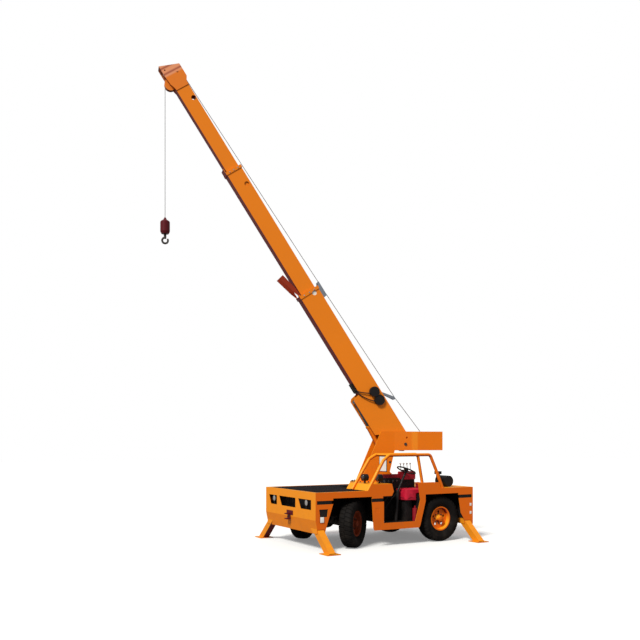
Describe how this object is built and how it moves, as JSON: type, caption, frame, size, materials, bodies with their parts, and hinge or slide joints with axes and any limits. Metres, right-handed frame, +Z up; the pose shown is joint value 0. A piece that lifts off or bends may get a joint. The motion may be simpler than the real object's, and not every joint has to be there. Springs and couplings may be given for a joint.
{
  "type": "carry-deck crane",
  "caption": "Compact mobile crane with a flat carry deck, a slewing turret, a three-section telescopic boom, a hook line and outriggers.",
  "frame": {"origin": "on the ground, on the slewing axis, which is where load radius is measured from", "axes": "+X to the front of the vehicle, +Y to its left, +Z up"},
  "size_m": [6.4353, 3.142, 9.8107],
  "materials": {
    "orange_paint": "gloss paint",
    "dark_paint": "satin",
    "strip_rubber": "matt",
    "tyre": "matt",
    "red_fabric": "coated cloth",
    "red_paint": "gloss paint",
    "steel": "plain",
    "card": "plain",
    "nylon": "plain"
  },
  "bodies": {
    "chassis": {"air_cleaner": "dark_paint", "axles": "dark_paint", "cab_cowl": "orange_paint", "cab_side": "orange_paint", "cab_tub": "dark_paint", "chassis_frame": "orange_paint", "control_console": "dark_paint", "deck_frame": "orange_paint", "deck_plate": "dark_paint", "drive_line": "dark_paint", "engine_block": "dark_paint", "engine_side": "orange_paint", "extinguisher": "red_paint", "front_bumper": "orange_paint", "lamps": "dark_paint", "lever_box": "red_paint", "levers_and_pedals": "steel", "load_card": "card", "outrigger_sleeves": "orange_paint", "rear_bumper": "orange_paint", "rear_deck": "orange_paint", "roll_frame": "orange_paint", "seat_back": "red_fabric", "seat_base": "dark_paint", "seat_cushion": "red_fabric", "side_strips": "strip_rubber", "steering_wheel": "dark_paint", "tow_hitches": "orange_paint"},
    "turret": {"turret_frame": "orange_paint", "drum_and_pins": "steel"},
    "lift_barrel": {"lift_barrel": "orange_paint"},
    "lift_rod": {"lift_rod": "steel"},
    "boom_base": {"boom_base": "orange_paint", "base_pads": "nylon", "hose_reels": "dark_paint", "rope_guides": "steel"},
    "boom_mid": {"boom_mid": "orange_paint", "mid_pads": "nylon"},
    "boom_tip": {"boom_tip": "orange_paint", "boom_head": "orange_paint", "head_sheaves": "steel"},
    "fall_line": {"fall_rope": "steel"},
    "hook_weight": {"hook_weight": "red_paint"},
    "hook": {"hook": "steel"},
    "knuckle_left": {"knuckle_left": "dark_paint"},
    "knuckle_right": {"knuckle_right": "dark_paint"},
    "wheel_front_left": {"tyre_front_left": "tyre", "rim_front_left": "orange_paint"},
    "leg_front_left": {"leg_front_left": "orange_paint"},
    "wheel_front_right": {"tyre_front_right": "tyre", "rim_front_right": "orange_paint"},
    "leg_front_right": {"leg_front_right": "orange_paint"},
    "wheel_rear_left": {"tyre_rear_left": "tyre", "rim_rear_left": "orange_paint"},
    "leg_rear_left": {"leg_rear_left": "orange_paint"},
    "wheel_rear_right": {"tyre_rear_right": "tyre", "rim_rear_right": "orange_paint"},
    "leg_rear_right": {"leg_rear_right": "orange_paint"}
  },
  "joints": [
    {"name": "slew", "type": "hinge", "parent": "chassis", "child": "turret", "pos_m": [0, 0, 1.19], "axis": [0, 0, -1], "continuous": true},
    {"name": "boom_lift", "type": "hinge", "parent": "turret", "child": "boom_base", "pos_m": [-0.71479, 0.19153, 2.07], "axis": [-0.2588, -0.9659, 0], "range_deg": [-56.9, 13.1]},
    {"name": "boom_extend", "type": "slide", "parent": "boom_base", "child": "boom_mid", "axis": [0.5275, -0.1413, 0.8377], "range_m": [-2.8, 0]},
    {"name": "tip_extend", "type": "slide", "parent": "boom_mid", "child": "boom_tip", "axis": [0.5275, -0.1413, 0.8377], "range_m": [-1.736, 0]},
    {"name": "cylinder_tilt", "type": "hinge", "parent": "turret", "child": "lift_barrel", "pos_m": [-0.37188, 0.09964, 1.68], "axis": [-0.2588, -0.9659, 0], "range_deg": [-58.62, 13.5]},
    {"name": "cylinder_stroke", "type": "slide", "parent": "lift_barrel", "child": "lift_rod", "axis": [0.472, -0.1265, 0.8725], "range_m": [-0.4722, 0.1091]},
    {"name": "line_swing", "type": "hinge", "parent": "boom_tip", "child": "fall_line", "pos_m": [4.15839, -1.11424, 9.38614], "axis": [-0.2588, -0.9659, 0], "range_deg": [-13.1, 56.9]},
    {"name": "hoist", "type": "slide", "parent": "fall_line", "child": "hook_weight", "axis": [0, 0, -1], "range_m": [-2.2, 5.8], "deforming": ["fall_rope"]},
    {"name": "hook_swivel", "type": "hinge", "parent": "hook_weight", "child": "hook", "pos_m": [4.25981, -1.14141, 6.35614], "axis": [0, 0, 1], "continuous": true},
    {"name": "steer_left", "type": "hinge", "parent": "chassis", "child": "knuckle_left", "pos_m": [1.11, 0.697, 0.485], "axis": [0, 0, 1], "range_deg": [-72, 0]},
    {"name": "steer_right", "type": "hinge", "parent": "chassis", "child": "knuckle_right", "pos_m": [1.11, -0.697, 0.485], "axis": [0, 0, 1], "range_deg": [-72, 0]},
    {"name": "wheel_front_left", "type": "hinge", "parent": "knuckle_left", "child": "wheel_front_left", "pos_m": [1.11, 0.697, 0.485], "axis": [-0.5878, 0.809, 0], "continuous": true},
    {"name": "wheel_rear_left", "type": "hinge", "parent": "chassis", "child": "wheel_rear_left", "pos_m": [-1.135, 0.877, 0.485], "axis": [0, 1, 0], "continuous": true},
    {"name": "wheel_front_right", "type": "hinge", "parent": "knuckle_right", "child": "wheel_front_right", "pos_m": [1.11, -0.697, 0.485], "axis": [-0.5878, 0.809, 0], "continuous": true},
    {"name": "wheel_rear_right", "type": "hinge", "parent": "chassis", "child": "wheel_rear_right", "pos_m": [-1.135, -0.877, 0.485], "axis": [0, 1, 0], "continuous": true},
    {"name": "leg_front_left", "type": "slide", "parent": "chassis", "child": "leg_front_left", "axis": [0, 0.749, -0.6626], "range_m": [-0.36, 0]},
    {"name": "leg_front_right", "type": "slide", "parent": "chassis", "child": "leg_front_right", "axis": [0, -0.749, -0.6626], "range_m": [-0.36, 0]},
    {"name": "leg_rear_left", "type": "slide", "parent": "chassis", "child": "leg_rear_left", "axis": [0, 0.749, -0.6626], "range_m": [-0.36, 0]},
    {"name": "leg_rear_right", "type": "slide", "parent": "chassis", "child": "leg_rear_right", "axis": [0, -0.749, -0.6626], "range_m": [-0.36, 0]}
  ],
  "couplings": [
    {"joint": "tip_extend", "follows": "boom_extend", "ratio": 0.62},
    {"joint": "cylinder_tilt", "follows": "boom_lift", "ratio": 1.03},
    {"joint": "cylinder_stroke", "follows": "boom_lift", "m_per_rad": 0.475},
    {"joint": "line_swing", "follows": "boom_lift", "ratio": -1},
    {"joint": "steer_right", "follows": "steer_left", "ratio": 1}
  ]
}
